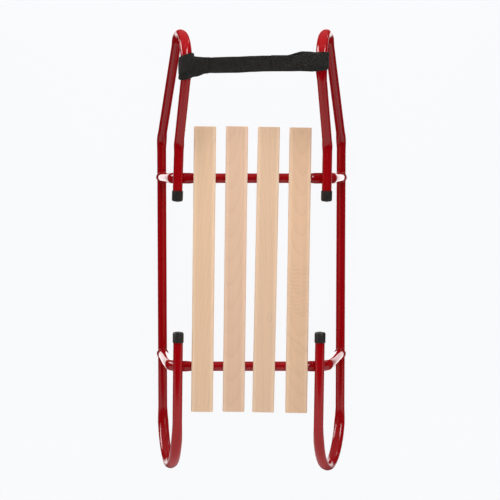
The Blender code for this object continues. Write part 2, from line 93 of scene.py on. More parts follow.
# Weld beads
BEAD_RADIUS = 1.7 * MM
BEAD_SPREAD = 0.6 * MM  # from the surface of a crossmember's leg to its foot bead's centre line
RUNNER_SPREAD = 1.2 * BEAD_SPREAD  # the same from the runner's surface
SEAT_OPENING = 1.5 * BEAD_RADIUS  # between the two tubes' surfaces, where a seat bead's centre line runs
BEAD_RIPPLE = 1.5 * MM  # length of one ripple along the bead
BEAD_VALLEY = 0.86  # share of the radius left between two ripples
BEAD_CREST = 0.2  # share of the radius that a ripple adds
BEAD_UNEVEN = 0.12  # share by which the radius wanders
BEAD_UNEVEN_LENGTH = 4.0 * MM
BEAD_SECTION = 10
BEAD_STEPS = 120

# Webbing of the pull strap
WEB_WIDTH = 26.0 * MM
WEB_THICKNESS = 1.2 * MM
WEB_STEP = 1.6 * MM
WEB_LEAST_STEPS = 8
WEB_COLUMNS = 12
SELVEDGE = 0.16  # extra thickness along the two woven edges, as a share
SELVEDGE_RISE = (0.8, 0.9)  # shares of half the width between which it sets in
RIB_PITCH = 1.25 * MM
YARN_PITCH = 1.5 * MM

# Webbing paths are in the frame of one crown: inward from the tube, up from its centre, along the horn
LAYER = WEB_THICKNESS + 0.12 * MM  # between two layers that lie on each other
ROW_LAYER = 0.75 * MM  # between two turns of the choke, which press into each other
HORN_CLEARANCE = 0.75 * MM
TUBE_LAYER = HORN_HALF_WIDTH + HORN_CLEARANCE + WEB_THICKNESS / 2
DRAPE_END, FLAT_START = 1.6 * TUBE_RADIUS, 5 * TUBE_RADIUS  # the band turns from draped to flat between
SETBACK = 1.5 * MM  # the strap lies this far behind the horns' crowns
CHOKE_REACH = 21.0 * MM  # where the choked loop's two layers come together
CHOKE_TAIL = 36.0 * MM
# The choke's two turns: layers above the band's, place along the horn, slant and crumple
CHOKE_TURNS = ((1, -10.6 * MM, 3.1 * MM, 0.5 * MM), (2, -0.7 * MM, 3.7 * MM, 0.6 * MM))
FAN_PATH = ((8.5 * MM, 6.4 * MM), (14.0 * MM, 5.0 * MM), (22.0 * MM, 1.9 * MM), (36.5 * MM, LAYER))
FAN_SLANT = 3.0 * MM  # of its cut end
LOOP_SLACK = 0.8 * MM  # how far the sewn loop's centre lies outside the tube's
LOOP_BORE = TUBE_LAYER + 0.35 * MM  # from the sewn loop's centre to its middle layer
LOOP_REACH = 47.0 * MM  # where the sewn loop's two layers come together
LOOP_SEAM = 82.5 * MM  # where its upper layer ends
ARC_STEP = 9  # degrees
SOFTENING = 2  # passes that round a path's corners
CRUMPLES = ((1.0, 10.0 * MM), (0.6, 3.5 * MM))  # share and wavelength of the webbing's uneven lie

# Stitching
THREAD_RADIUS = 0.27 * MM
THREAD_CORNERS = 6
STITCH_LENGTH = 2.1 * MM
STITCH_PITCH = 2.7 * MM
STITCH_DIP = 0.25 * MM
STITCH_LIFT = WEB_THICKNESS / 2 + 0.3 * THREAD_RADIUS  # above the webbing's middle layer
STITCH_AIM = 0.2  # share of the pitch ahead that gives a stitch its direction
BOX_INSET = 3.0 * MM  # from the webbing's end to the sewn box
BOX_LENGTH = 18.0 * MM
BOX_HALF_WIDTH = 0.78  # share of half the webbing's width
SEAM_END = 52.0 * MM  # from the strap's middle to the far end of the box on its underside
FAN_BOX_INSET = 2.5 * MM
FAN_BOX_LENGTH = 9.5 * MM
FAN_BOX_HALF_WIDTH = 0.72

# Materials
SHARP_EDGE = math.radians(33)
CORNER_MERGE = 0.01 * MM
RED = (0.286, 0.0006, 0.0030)
CAP_BLACK, CAP_WORN = (0.0075, 0.0064, 0.0054), (0.018, 0.0158, 0.0135)
CAP_RIBS = 9.0  # half the number of ribs round a cap
ZINC_DULL, ZINC_BRIGHT = (0.50, 0.50, 0.47), (0.72, 0.71, 0.68)
WEB_BLACK = (0.0088, 0.0073, 0.0063)
THREAD_DARK, THREAD_PALE = (0.012, 0.011, 0.010), (0.035, 0.032, 0.029)
RING_WIDTH = 3.1 * MM
RING_WANDER = 22 * MM
KNOT_HALF_WIDTH, KNOT_HALF_LENGTH = 4.0 * MM, 8.0 * MM
KNOT_BULGE = 2.2 * MM  # how far the rings give way round a knot
RIPPLE_HALF_LENGTH = 46 * MM
RIPPLE_BORDER = 12 * MM
RIPPLE_PITCH = 7 * MM
RIPPLE_CURVE = -15.0  # of the arcs across the slat, per metre
STRIPES = (-83 * MM, -139 * MM)  # forward from the middle of the patch to each dark stripe
STRIPE_WIDTH = 3 * MM
STRIPE_BORDER = 4 * MM
STRIPE_SLANT = 0.85
SLAT_END = 5 * MM  # the length of a slat's end that shows where it lies
PAINTED_EDGE_LIGHT_WIDTH = 7.5 * MM  # painted light: the paler border along a slat's long edges, where their rounding would catch the lamps
# painted light: how much paler and cooler that border is
PAINTED_EDGE_LIGHT_TINT = (1.09, 1.15, 1.22)
WARM_TINT = (1.03, 0.965, 0.90)
NO_TINT = (1.0, 1.0, 1.0)

# Floor and card
FLOOR_GLOW = 0.963
FLOOR_SHADOW = 0.05
FLOOR_HALF_SIZE = 30.0
FLOOR_DROP = 0.2 * MM
CARD_GLOW = 0.72  # as the gloss shows it
CARD_LIGHT = 1.0  # as it lights the matt surfaces
CARD_FADE = (0.60, 1.0)  # heights between which the white card behind the sled fades
CARD_WIDTH = 3.0
CARD_DISTANCE = 3 * MM
TAIL_SHADOW = 70 * MM  # reach of the shadow on the card round each side tube's tail
TAIL_SHADOW_DEPTH = 0.95

# World: ranges are of the direction's own X, Y or Z
GLOSS_DARK = 0.03  # what the gloss shows where nothing else is
GLOSS_AHEAD = 0.32  # far beyond the horns
AHEAD_RANGE = (0.45, 0.85)
GLOSS_UNDER = 1.8
UNDER_RANGE = (-0.80, -0.93)
STRIP_POWER = 9.0
STRIPS = (((-0.96, -0.78), (0.34, 0.68)), ((0.42, 0.66), (0.36, 0.70)))  # directions sideways and ahead
STRIP_SOFT_X, STRIP_SOFT_Y = 0.03, 0.06
STRIP_FOOT = (-0.50, -0.25)
DOME_POWER = 0.22
DOME_SIDES = 0.9  # extra light from low on the left and right
DOME_SLOPE = 0.05  # extra light from ahead
DOME_TINT = (0.985, 0.99, 1.0)

# Lamps
KEY_PLACE = (0.0, 2.2, 1.0)
KEY_TARGET = (0.0, 0.0, 0.1)
KEY_SIZE = (2.0, 0.9)
KEY_POWER = 56.0
DECK_LIGHT_PLACE = (0.0, 0.17, 0.62)
DECK_LIGHT_SIZE = (0.35, 2.0)
DECK_LIGHT_POWER = 2.28

# Background and camera
PALE = (0.939, 0.947, 0.965)
CAMERA_PLACE = (-0.0026, 0.1561, 2.382)
CAMERA_TILT = math.radians(-3.747)
CAMERA_LENS = 92.7
CAMERA_REACH = 50


def middle_of(node):
    low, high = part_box(node)
    return (low + high) / 2


joint_place = {joint["name"]: Vector(joint["pos_m"]) for joint in frame["joints"]}
mount_place = {mount["name"]: Vector(mount["pos_m"]) for mount in frame["record"]["mounts"]}
STRAP_MIDDLE = joint_place["strap_fold"]
CROWN = {LEFT: joint_place["strap_lift"], RIGHT: 2 * STRAP_MIDDLE - joint_place["strap_lift"]}
RUNNER_X = mount_place["ground_right"].x
RUNNER_Z = TUBE_RADIUS
SLAT_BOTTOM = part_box("slat_outer_left")[0].z
CROSS_HEIGHT = SLAT_BOTTOM - CAD_GAP - TUBE_RADIUS
CROSSMEMBERS = {"front": middle_of("front_crossmember").y, "rear": middle_of("rear_crossmember").y}


# ---------------------------------------------------------------- node trees


class Nodes:
    """Adds shader nodes, taking plain values or other nodes' sockets as inputs."""

    def __init__(self, tree):
        self.tree = tree
        tree.nodes.clear()

    def feed(self, socket, value):
        if isinstance(value, bpy.types.NodeSocket):
            self.tree.links.new(value, socket)
        elif socket.type == "RGBA" and len(value) == 3:
            socket.default_value = (*value, 1.0)
        else:
            socket.default_value = value

    def add(self, kind, inputs=None, **settings):
        node = self.tree.nodes.new("ShaderNode" + kind)
        for name, value in settings.items():
            setattr(node, name, value)
        for name, value in (inputs or {}).items():
            self.feed(node.inputs[name], value)
        return node

    def math(self, operation, first, second=0.0, third=0.0):
        inputs = {0: first, 1: second, 2: third}
        return self.add("Math", inputs, operation=operation).outputs[0]

    def hypot(self, first, second):
        squares = [self.math("POWER", value, 2.0) for value in (first, second)]
        return self.math("SQRT", self.math("ADD", *squares))

    def vector(self, operation, first, second):
        return self.add("VectorMath", {0: first, 1: second}, operation=operation).outputs[0]

    def step(self, value, start, end):
        """0 before start, 1 after end, smooth between; start may be the larger."""
        inputs = {"Value": value, "From Min": start, "From Max": end}
        return self.add("MapRange", inputs, interpolation_type="SMOOTHSTEP").outputs[0]

    def window(self, value, start, end, soft):
        """1 between start and end, with soft borders."""
        rise = self.step(value, start - soft, start + soft)
        fall = self.step(value, end + soft, end - soft)
        return self.math("MULTIPLY", rise, fall)

    def noise(self, vector, scale, detail):
        inputs = {"Vector": vector, "Scale": scale, "Detail": detail}
        return self.add("TexNoise", inputs).outputs["Fac"]

    def stretched_noise(self, vector, scales, detail):
        """Noise with its own scale along each axis."""
        return self.noise(self.vector("MULTIPLY", vector, scales), 1.0, detail)

    def tint(self, colour, amount):
        """Colour times amount."""
        amounts = self.add("CombineXYZ", {0: amount, 1: amount, 2: amount}).outputs[0]
        return self.vector("MULTIPLY", colour, amounts)

    def mix(self, share, first, second):
        inputs = {"Factor": share, "A": first, "B": second}
        node = self.add("Mix", data_type="RGBA")
        for name, value in inputs.items():
            socket = next(s for s in node.inputs if s.name == name and s.enabled)
            self.feed(socket, value)
        return next(s for s in node.outputs if s.enabled)

    def split(self, vector):
        return self.add("SeparateXYZ", {0: vector}).outputs

    def place(self):
        """Object coordinates; a piece at rest has them in the sled's own frame."""
        return self.add("TexCoord").outputs["Object"]

    def bump(self, height, distance, strength):
        inputs = {"Height": height, "Distance": distance, "Strength": strength}
        return self.add("Bump", inputs).outputs[0]

    def surface(self, **inputs):
        shader = self.add("BsdfPrincipled", {k.replace("_", " "): v for k, v in inputs.items()})
        self.add("OutputMaterial", {"Surface": shader.outputs[0]})


def new_material(name):
    made = bpy.data.materials.new(name)
    made.use_nodes = True
    return made, Nodes(made.node_tree)


# ---------------------------------------------------------------- materials


def red_paint():
    """Glossy stoved enamel with a faint orange-peel surface."""
    made, n = new_material("red_enamel")
    place = n.place()
    cloud = n.noise(place, 14.0, 3.0)
    peel = n.noise(place, 620.0, 1.0)
    value = n.math("MULTIPLY_ADD", cloud, 0.14, 0.93)
    colour = n.tint(RED, value)
    roughness = n.math("MULTIPLY_ADD", n.noise(place, 55.0, 3.0), 0.07, 0.075)
    n.surface(
        Base_Color=colour,
        Roughness=roughness,
        IOR=1.5,
        Normal=n.bump(peel, 0.02 * MM, 0.35),
    )
    return made


def cap_plastic(name, centre):
    """Soft black plastic with fine moulded grain and shallow grip ribs round the cap."""
    made, n = new_material(name)
    place = n.place()
    x, _, z = n.split(n.vector("SUBTRACT", place, tuple(centre)))
    angle = n.math("ARCTAN2", z, x)
    ribs = n.math("ABSOLUTE", n.math("SINE", n.math("MULTIPLY", angle, CAP_RIBS)))
    grain = n.noise(place, 2600.0, 2.0)
    wear = n.noise(place, 180.0, 4.0)
    height = n.math("MULTIPLY_ADD", grain, 0.25, n.math("POWER", ribs, 0.5))
    colour = n.mix(wear, CAP_BLACK, CAP_WORN)
    roughness = n.math("MULTIPLY_ADD", wear, 0.16, 0.36)
    n.surface(Base_Color=colour, Roughness=roughness, Normal=n.bump(height, 0.25 * MM, 0.6))
    return made


def zinc_steel():
    """Zinc-plated screws, blotchy and finely scratched."""
    made, n = new_material("zinc_plate")
    place = n.place()
    blotch = n.noise(place, 420.0, 3.0)
    scratch = n.noise(n.vector("MULTIPLY", place, (1.0, 6.0, 1.0)), 1500.0, 2.0)
    colour = n.mix(blotch, ZINC_DULL, ZINC_BRIGHT)
    roughness = n.math("MULTIPLY_ADD", scratch, 0.25, 0.2)
    n.surface(
        Base_Color=colour, Metallic=1.0, Roughness=roughness, Normal=n.bump(scratch, 0.02 * MM, 0.5)
    )
    return made


def webbing():
    """Woven polyester: staggered warp yarns over weft ribs, drawn along the webbing's own length."""
    made, n = new_material("black_webbing")
    along, across, _ = n.split(n.add("UVMap", uv_map="weave").outputs[0])
    warp = n.math("DIVIDE", across, YARN_PITCH)
    weft = n.math("DIVIDE", along, RIB_PITCH)
    column = n.math("FLOOR", warp)
    yarn = n.math("ABSOLUTE", n.math("SINE", n.math("MULTIPLY", warp, math.pi)))
    over = n.math("SINE", n.math("MULTIPLY", n.math("ADD", weft, column), math.pi))
    over = n.math("MULTIPLY_ADD", over, 0.5, 0.5)
    weave = n.math("MULTIPLY", n.math("POWER", yarn, 0.6), over)
    fuzz = n.noise(n.place(), 1700.0, 2.0)
    height = n.math("MULTIPLY_ADD", fuzz, 0.35, weave)
    faded = n.noise(n.place(), 45.0, 3.0)
    # painted shade: the colour is darker in the valleys between the yarns, where the weave's relief is low
    value = n.math("MULTIPLY_ADD", weave, 0.55, n.math("MULTIPLY_ADD", faded, 0.5, 0.45))
    colour = n.tint(WEB_BLACK, value)
    n.surface(
        Base_Color=colour,
        Roughness=n.math("MULTIPLY_ADD", fuzz, 0.2, 0.7),
        Sheen_Weight=0.04,
        Sheen_Roughness=0.5,
        Normal=n.bump(height, 0.22 * MM, 0.9),
    )
    return made


def thread():
    """Twisted sewing thread."""
    made, n = new_material("black_thread")
    place = n.place()
    twist = n.add("TexWave", {"Vector": place, "Scale": 420.0, "Distortion": 1.0}).outputs["Fac"]
    # painted shade: the colour is darker in the grooves of the twist, following its relief
    colour = n.mix(twist, THREAD_DARK, THREAD_PALE)
    n.surface(Base_Color=colour, Roughness=0.55, Normal=n.bump(twist, 0.08 * MM, 0.7))
    return made


class Board:
    """How one slat was cut from its log, and the marks that show on it."""

    def __init__(self, colour, pith, tilt, seed, knot=None, ripple=None):
        self.colour = colour
        self.pith = pith  # sideways and down from the slat's middle to the log's centre
        self.tilt = tilt  # fall of the log's centre for each length forward
        self.seed = seed
        self.knot = knot  # sideways and forward from the slat's middle to its knot
        self.ripple = ripple  # forward from the slat's middle to the middle of its rippled patch


BOARDS = {
    "slat_outer_left": Board((0.715, 0.488, 0.320), (26 * MM, 46 * MM), 0.055, 3.1),
    "slat_inner_left": Board((0.685, 0.458, 0.318), (-9 * MM, 60 * MM), -0.075, 11.7),
    "slat_inner_right": Board(
        (0.692, 0.474, 0.318), (-30 * MM, 38 * MM), 0.06, 23.9, knot=(6 * MM, -80 * MM)
    ),
    "slat_outer_right": Board(
        (0.700, 0.460, 0.298), (5 * MM, 52 * MM), -0.09, 37.3, ripple=-38 * MM
    ),
}


def beech(name, board):
    """Steamed beech: growth rings of a whole log, short dark flecks and fine fibres, darker on end grain."""
    made, n = new_material("beech_" + name)
    local = n.vector("SUBTRACT", n.place(), tuple(middle_of(name)))
    seeded = n.vector("ADD", local, (board.seed, board.seed, 0.0))
    drift = n.stretched_noise(seeded, (16.0, 3.2, 16.0), 3.0)
    x, y, z = n.split(local)
    push = n.math("MULTIPLY_ADD", drift, RING_WANDER, -RING_WANDER / 2)
    if board.knot:
        near = knot_distance(n, x, y, *board.knot)
        push = n.math("ADD", push, n.math("MULTIPLY", n.step(near, 3.2, 0.0), KNOT_BULGE))
    sideways = n.math("ADD", n.math("SUBTRACT", x, board.pith[0]), push)
    up = n.math("ADD", n.math("MULTIPLY_ADD", y, board.tilt, z), board.pith[1])
    rings = n.math("FRACT", n.math("DIVIDE", n.hypot(sideways, up), RING_WIDTH))
    late_wood = n.math("MULTIPLY", n.math("POWER", rings, 3.0), n.step(rings, 1.0, 0.92))
    fibres = n.stretched_noise(seeded, (1500.0, 30.0, 1500.0), 3.0)
    streaks = n.stretched_noise(seeded, (210.0, 5.0, 210.0), 3.0)
    flecks = n.step(n.stretched_noise(seeded, (1150.0, 150.0, 1150.0), 1.0), 0.60, 0.72)
    shade = n.math("MULTIPLY_ADD", drift, 0.10, 0.95)
    for amount, strength in ((late_wood, -0.06), (flecks, -0.075), (fibres, 0.06), (streaks, 0.13)):
        shade = n.math("MULTIPLY_ADD", amount, strength, shade)
    shade = n.math("SUBTRACT", shade, 0.09)
    if board.knot:
        shade = n.math("MULTIPLY_ADD", n.step(near, 1.0, 0.35), -0.03, shade)
        shade = n.math("MULTIPLY_ADD", n.window(near, 0.85, 1.1, 0.15), -0.10, shade)
    if board.ripple:
        shade = rippled(n, shade, x, y, board.ripple, drift, streaks)
    facing = n.split(n.add("NewGeometry").outputs["Normal"])[1]
    end_grain = n.step(n.math("ABSOLUTE", facing), 0.6, 0.95)
    shade = n.math("MULTIPLY_ADD", end_grain, -0.17, shade)
    warm = n.mix(n.math("MULTIPLY", streaks, 0.55), NO_TINT, WARM_TINT)
    colour = n.vector("MULTIPLY", n.tint(board.colour, shade), warm)
    # painted light: each slat is paler along its long edges, as though their rounding caught the lamps
    slope, half_width = slat_lie(name)
    off_middle = n.math("ABSOLUTE", n.math("MULTIPLY_ADD", y, -slope, x))
    painted_edge_light = n.step(off_middle, half_width - PAINTED_EDGE_LIGHT_WIDTH, half_width - PAINTED_EDGE_LIGHT_WIDTH / 3)
    colour = n.vector("MULTIPLY", colour, n.mix(painted_edge_light, NO_TINT, PAINTED_EDGE_LIGHT_TINT))
    relief = n.math("MULTIPLY_ADD", flecks, -0.8, fibres)
    roughness = n.math("MULTIPLY_ADD", fibres, 0.18, n.math("MULTIPLY_ADD", end_grain, 0.2, 0.38))
    n.surface(Base_Color=colour, Roughness=roughness, Normal=n.bump(relief, 0.06 * MM, 0.7))
    return made


def knot_distance(n, x, y, knot_x, knot_y):
    """Distance from a knot's middle, where 1 is the knot's oval rim."""
    across = n.math("DIVIDE", n.math("SUBTRACT", x, knot_x), KNOT_HALF_WIDTH)
    forward = n.math("DIVIDE", n.math("SUBTRACT", y, knot_y), KNOT_HALF_LENGTH)
    return n.hypot(across, forward)


def rippled(n, shade, x, y, middle, drift, streaks):
    """Darkens a slat's shade along the arcs of a rippled patch and the slanted stripes behind it."""
    arcs = n.math("MULTIPLY_ADD", n.math("POWER", x, 2.0), RIPPLE_CURVE, y)
    arcs = n.math("MULTIPLY_ADD", drift, 55 * MM, n.math("MULTIPLY_ADD", streaks, 9 * MM, arcs))
    lines = n.math("SINE", n.math("MULTIPLY", arcs, 2 * math.pi / RIPPLE_PITCH))
    lines = n.math("POWER", n.math("MULTIPLY_ADD", lines, 0.5, 0.5), 2.0)
    patch = n.window(y, middle - RIPPLE_HALF_LENGTH, middle + RIPPLE_HALF_LENGTH, RIPPLE_BORDER)
    shade = n.math("MULTIPLY_ADD", n.math("MULTIPLY", lines, patch), -0.055, shade)
    slanted = n.math("MULTIPLY_ADD", streaks, 9 * MM, n.math("MULTIPLY_ADD", x, STRIPE_SLANT, y))
    for offset in STRIPES:
        stripe = n.window(slanted, middle + offset, middle + offset + STRIPE_WIDTH, STRIPE_BORDER)
        shade = n.math("MULTIPLY_ADD", stripe, -0.09, shade)
    return shade


def slat_lie(name):
    """A slat's sideways drift for each length forward, and half its width."""
    corners = [vertex.co for vertex in frame["nodes"][name].data.vertices]
    low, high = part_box(name)
    front = [co.x for co in corners if co.y > high.y - SLAT_END]
    rear = [co.x for co in corners if co.y < low.y + SLAT_END]
    drift = (max(front) + min(front) - max(rear) - min(rear)) / 2
    return drift / (high.y - low.y), (max(front) - min(front)) / 2


# ---------------------------------------------------------------- CAD nodes


def weld_and_smooth():
    """Node group that joins the split corners of a CAD mesh and shades it smooth between sharp edges."""
    tree = bpy.data.node_groups.new("weld_and_smooth", "GeometryNodeTree")
    for direction in ("INPUT", "OUTPUT"):
        tree.interface.new_socket("Geometry", in_out=direction, socket_type="NodeSocketGeometry")
    nodes = {
        name: tree.nodes.new(kind)
        for name, kind in (
            ("start", "NodeGroupInput"),
            ("merge", "GeometryNodeMergeByDistance"),
            ("faces", "GeometryNodeSetShadeSmooth"),
            ("edges", "GeometryNodeSetShadeSmooth"),
            ("angle", "GeometryNodeInputMeshEdgeAngle"),
            ("sharp", "FunctionNodeCompare"),
            ("end", "NodeGroupOutput"),
        )
    }
    nodes["merge"].inputs["Distance"].default_value = CORNER_MERGE
    nodes["faces"].domain = "FACE"
    nodes["edges"].domain = "EDGE"
    nodes["edges"].inputs["Shade Smooth"].default_value = False
    nodes["sharp"].operation = "GREATER_THAN"
    nodes["sharp"].inputs[1].default_value = SHARP_EDGE
    for first, second in (("start", "merge"), ("merge", "faces"), ("faces", "edges"), ("edges", "end")):
        tree.links.new(nodes[first].outputs[0], nodes[second].inputs[0])
    tree.links.new(nodes["angle"].outputs[0], nodes["sharp"].inputs[0])
    tree.links.new(nodes["sharp"].outputs[0], nodes["edges"].inputs["Selection"])
    return tree


def dress_frame(paint):
    """Gives every CAD node that stays its material and clean shading."""
    smoothing = weld_and_smooth()
    steel = zinc_steel()
    for name, node in frame["nodes"].items():
        if name.startswith("pull_strap"):
            continue
        split_normals = node.data.attributes.get("custom_normal")
        if split_normals:
            node.data.attributes.remove(split_normals)
        node.modifiers.new("weld_and_smooth", "NODES").node_group = smoothing
        if name.startswith("slat_"):
            finish = beech(name, BOARDS[name])
        elif name.endswith("_cap"):
            finish = cap_plastic(name + "_plastic", middle_of(name))
        elif "_screw_" in name:
            finish = steel
        else:
            finish = paint
        for material_slot in node.material_slots:
            material_slot.material = finish


# ---------------------------------------------------------------- meshes


def new_piece(name, bm, finish):
    """A smooth object made of bm, which it frees."""
    bmesh.ops.recalc_face_normals(bm, faces=bm.faces)
    mesh = bpy.data.meshes.new(name)
    bm.to_mesh(mesh)
    bm.free()
    mesh.shade_smooth()
    mesh.materials.append(finish)
    piece = bpy.data.objects.new(name, mesh)
    bpy.context.scene.collection.objects.link(piece)
    return piece


def add_ring(bm, centre, radius, across, up, count):
    """A round ring of corners in the plane of two unit directions."""
    angles = [2 * math.pi * k / count for k in range(count)]
    return [bm.verts.new(centre + radius * (across * math.cos(a) + up * math.sin(a))) for a in angles]


def join_rings(bm, first, second):
    """Quads between two closed rings of as many corners."""
    faces = []
    for i, corner in enumerate(first):
        after = (i + 1) % len(first)
        faces.append(bm.faces.new((corner, first[after], second[after], second[i])))
    return faces


# ---------------------------------------------------------------- weld beads


def add_bead(bm, centre_line):
    """A closed weld bead with overlapping ripples along a closed centre line."""
    count = len(centre_line)
    lengths = [0.0]
    for i in range(count):
        lengths.append(lengths[-1] + (centre_line[(i + 1) % count] - centre_line[i]).length)
    ripples = round(lengths[-1] / BEAD_RIPPLE)
    middle = sum(centre_line, Vector()) / count
    rings = []
    for i, point in enumerate(centre_line):
        tangent = (centre_line[(i + 1) % count] - centre_line[i - 1]).normalized()
        outward = (point - middle).normalized()
        side = tangent.cross(outward).normalized()
        outward = side.cross(tangent)
        phase = ripples * lengths[i] / lengths[-1] % 1.0
        radius = BEAD_RADIUS * (BEAD_VALLEY + BEAD_CREST * math.sin(math.pi * phase) ** 0.7)
        radius *= 1 + BEAD_UNEVEN * noise.noise(point / BEAD_UNEVEN_LENGTH)
        rings.append(add_ring(bm, point, radius, outward, side, BEAD_SECTION))
    for i, ring in enumerate(rings):
        join_rings(bm, ring, rings[(i + 1) % count])


def turn_angles():
    return [2 * math.pi * i / BEAD_STEPS for i in range(BEAD_STEPS)]


def leg_turn():
    """Angle of a crossmember's shoulder bend, which aims its leg at the runner's centre line."""
    sideways = RUNNER_X - SHOULDER_X
    height = CROSS_HEIGHT - SHOULDER_RADIUS - RUNNER_Z
    return math.atan2(height, sideways) + math.asin(SHOULDER_RADIUS / math.hypot(sideways, height))


def leg_over(side, end):
    """Centre of a deck leg where it crosses the crossmember that carries it."""
    leg = f"{end}_{SIDE_WORDS[side]}"
    cap = middle_of(leg + "_cap")
    forward = CROSSMEMBERS[end] - cap.y
    return cap + Vector((forward * LEG_VEER[leg], forward, 0))


def top_shift(end):
    """Sideways shift of a crossmember's top, halfway between the deck legs that rest on it."""
    return (leg_over(LEFT, end).x + leg_over(RIGHT, end).x) / 2


def foot_bead(side, end):
    """Bead round a crossmember's foot, where the leg's tube meets the runner's tube."""
    turn = leg_turn()
    lean = top_shift(end) / (CROSS_HEIGHT - RUNNER_Z)
    up_leg = Vector((-side * math.cos(turn) + lean * math.sin(turn), 0, math.sin(turn))).normalized()
    across = Y_AXIS.cross(up_leg)
    runner = Vector((side * RUNNER_X, CROSSMEMBERS[end], RUNNER_Z))
    leg_reach = TUBE_RADIUS + BEAD_SPREAD
    runner_reach = TUBE_RADIUS + RUNNER_SPREAD
    line = []
    for angle in turn_angles():
        sideways, forward = leg_reach * math.cos(angle), leg_reach * math.sin(angle)
        rise = math.sqrt(runner_reach**2 - sideways**2)
        line.append(runner + across * sideways + Y_AXIS * forward + up_leg * rise)
    return line


def seat_bead(side, end):
    """Bead round the spot where a deck leg rests on the crossmember's shoulder."""
    leg = leg_over(side, end)
    bend = Vector((side * SHOULDER_X + top_shift(end), leg.y, CROSS_HEIGHT - SHOULDER_RADIUS))
    reach = SHOULDER_RADIUS + SHOULDER_HALF_HEIGHT
    normal = leg - bend
    gap = normal.length - reach - TUBE_RADIUS
    normal.normalize()
    across = Y_AXIS.cross(normal)
    contact = bend + normal * reach
    open_gap = SEAT_OPENING - gap
    half_across = math.sqrt(2 * open_gap / (1 / TUBE_RADIUS + 1 / reach))
    half_along = SHOULDER_HALF_WIDTH * math.sqrt(2 * open_gap / SHOULDER_HALF_HEIGHT)
    line = []
    for angle in turn_angles():
        sideways, forward = half_across * math.cos(angle), half_along * math.sin(angle)
        leg_fall = TUBE_RADIUS - math.sqrt(TUBE_RADIUS**2 - sideways**2)
        bend_fall = reach - math.sqrt(reach**2 - sideways**2)
        oval_fall = open_gap * math.sin(angle) ** 2
        level = (gap + leg_fall - bend_fall - oval_fall) / 2
        line.append(contact + across * sideways + Y_AXIS * forward + normal * level)
    return line


def make_welds(paint):
    """Beads where each crossmember meets the runners and the deck legs."""
    for end in CROSSMEMBERS:
        for side, word in SIDE_WORDS.items():
            for kind, path in (("foot", foot_bead), ("seat", seat_bead)):
                bm = bmesh.new()
                add_bead(bm, path(side, end))
                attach(new_piece(f"{end}_{word}_{kind}_weld", bm, paint), "frame")


# ---------------------------------------------------------------- pull strap


def smooth_step(value, start, end):
    share = min(1.0, max(0.0, (value - start) / (end - start)))
    return share * share * (3 - 2 * share)


def between(value, curve):
    """Smooth curve through (place, height) pairs."""
    if value <= curve[0][0]:
        return curve[0][1]
    for (start, low), (end, high) in zip(curve, curve[1:]):
        if value <= end:
            return low + (high - low) * smooth_step(value, start, end)
    return curve[-1][1]


def half_span(side):
    return abs(STRAP_MIDDLE.x - CROWN[side].x)


def horn_lean(side):
    """How far a side frame leans inward from its runner."""
    return math.atan2(RUNNER_X - side * CROWN[side].x, CROWN[side].z - RUNNER_Z)


def strap_place(side, inward, up, along):
    """Places a webbing point: draped over the curved horn near its tube, flat towards the middle."""
    crown = CROWN[side]
    share = inward / half_span(side)
    flat = crown + Vector((-side * inward, along, up + (STRAP_MIDDLE.z - crown.z) * share))
    lean = horn_lean(side)
    hinge = Vector((math.cos(lean), 0, side * math.sin(lean)))
    plane_up = Vector((-side * math.sin(lean), 0, math.cos(lean)))
    bend = along / HORN_RADIUS
    fall = HORN_RADIUS * (1 - math.cos(bend))
    centre = crown + Y_AXIS * (HORN_RADIUS * math.sin(bend)) - plane_up * fall
    turned = Matrix.Rotation(-bend, 3, hinge) @ Vector((-side * inward, 0, up))
    return (centre + turned).lerp(flat, smooth_step(inward, DRAPE_END, FLAT_START))


def arc(side, radius, start, end, centre=0.0):
    """Points (inward, up) round the flattened, leaning tube, from one angle to another in degrees."""
    lean = horn_lean(side)
    steps = max(2, round(abs(end - start) / ARC_STEP))
    points = []
    for i in range(steps + 1):
        angle = math.radians(start + (end - start) * i / steps) + lean
        along_hinge, off_hinge = radius * math.cos(angle), (radius - HORN_FLATTENING) * math.sin(angle)
        inward = along_hinge * math.cos(lean) + off_hinge * math.sin(lean)
        points.append((centre + inward, off_hinge * math.cos(lean) - along_hinge * math.sin(lean)))
    return points


def even_path(points, closed=False):
    """The same path with even steps and softened corners; its two ends stay where they are."""
    if closed:
        points = points + points[:1]
    lengths = [0.0]
    for first, second in zip(points, points[1:]):
        lengths.append(lengths[-1] + math.dist(first, second))
    count = max(WEB_LEAST_STEPS, round(lengths[-1] / WEB_STEP))
    even = []
    leg = 0
    for i in range(count if closed else count + 1):
        goal = lengths[-1] * i / count
        while leg < len(points) - 2 and lengths[leg + 1] < goal:
            leg += 1
        share = (goal - lengths[leg]) / (lengths[leg + 1] - lengths[leg])
        (x0, y0), (x1, y1) = points[leg], points[leg + 1]
        even.append((x0 + (x1 - x0) * share, y0 + (y1 - y0) * share))
    for _ in range(SOFTENING):
        softened = list(even)
        for i in range(len(even)):
            if closed or 0 < i < len(even) - 1:
                trio = even[i - 1], even[i], even[(i + 1) % len(even)]
                softened[i] = tuple((a + 2 * b + c) / 4 for a, b, c in zip(*trio))
        even = softened
    return even


def web_section():
    """Outline of the webbing as (across, up) shares of half its width and half its thickness."""
    rim = 1.0 - WEB_THICKNESS / WEB_WIDTH
    near_rim = 1.0 - 0.25 * WEB_THICKNESS / WEB_WIDTH
    columns = [2 * i / WEB_COLUMNS - 1 for i in range(WEB_COLUMNS + 1)]
    top = [(column * rim, 1 + SELVEDGE * smooth_step(abs(column), *SELVEDGE_RISE)) for column in columns]
    right = [(near_rim, 0.7), (1.0, 0.0), (near_rim, -0.7)]
    bottom = [(across, -up) for across, up in reversed(top)]
    left = [(-across, up) for across, up in reversed(right)]
    return top + right + bottom + left


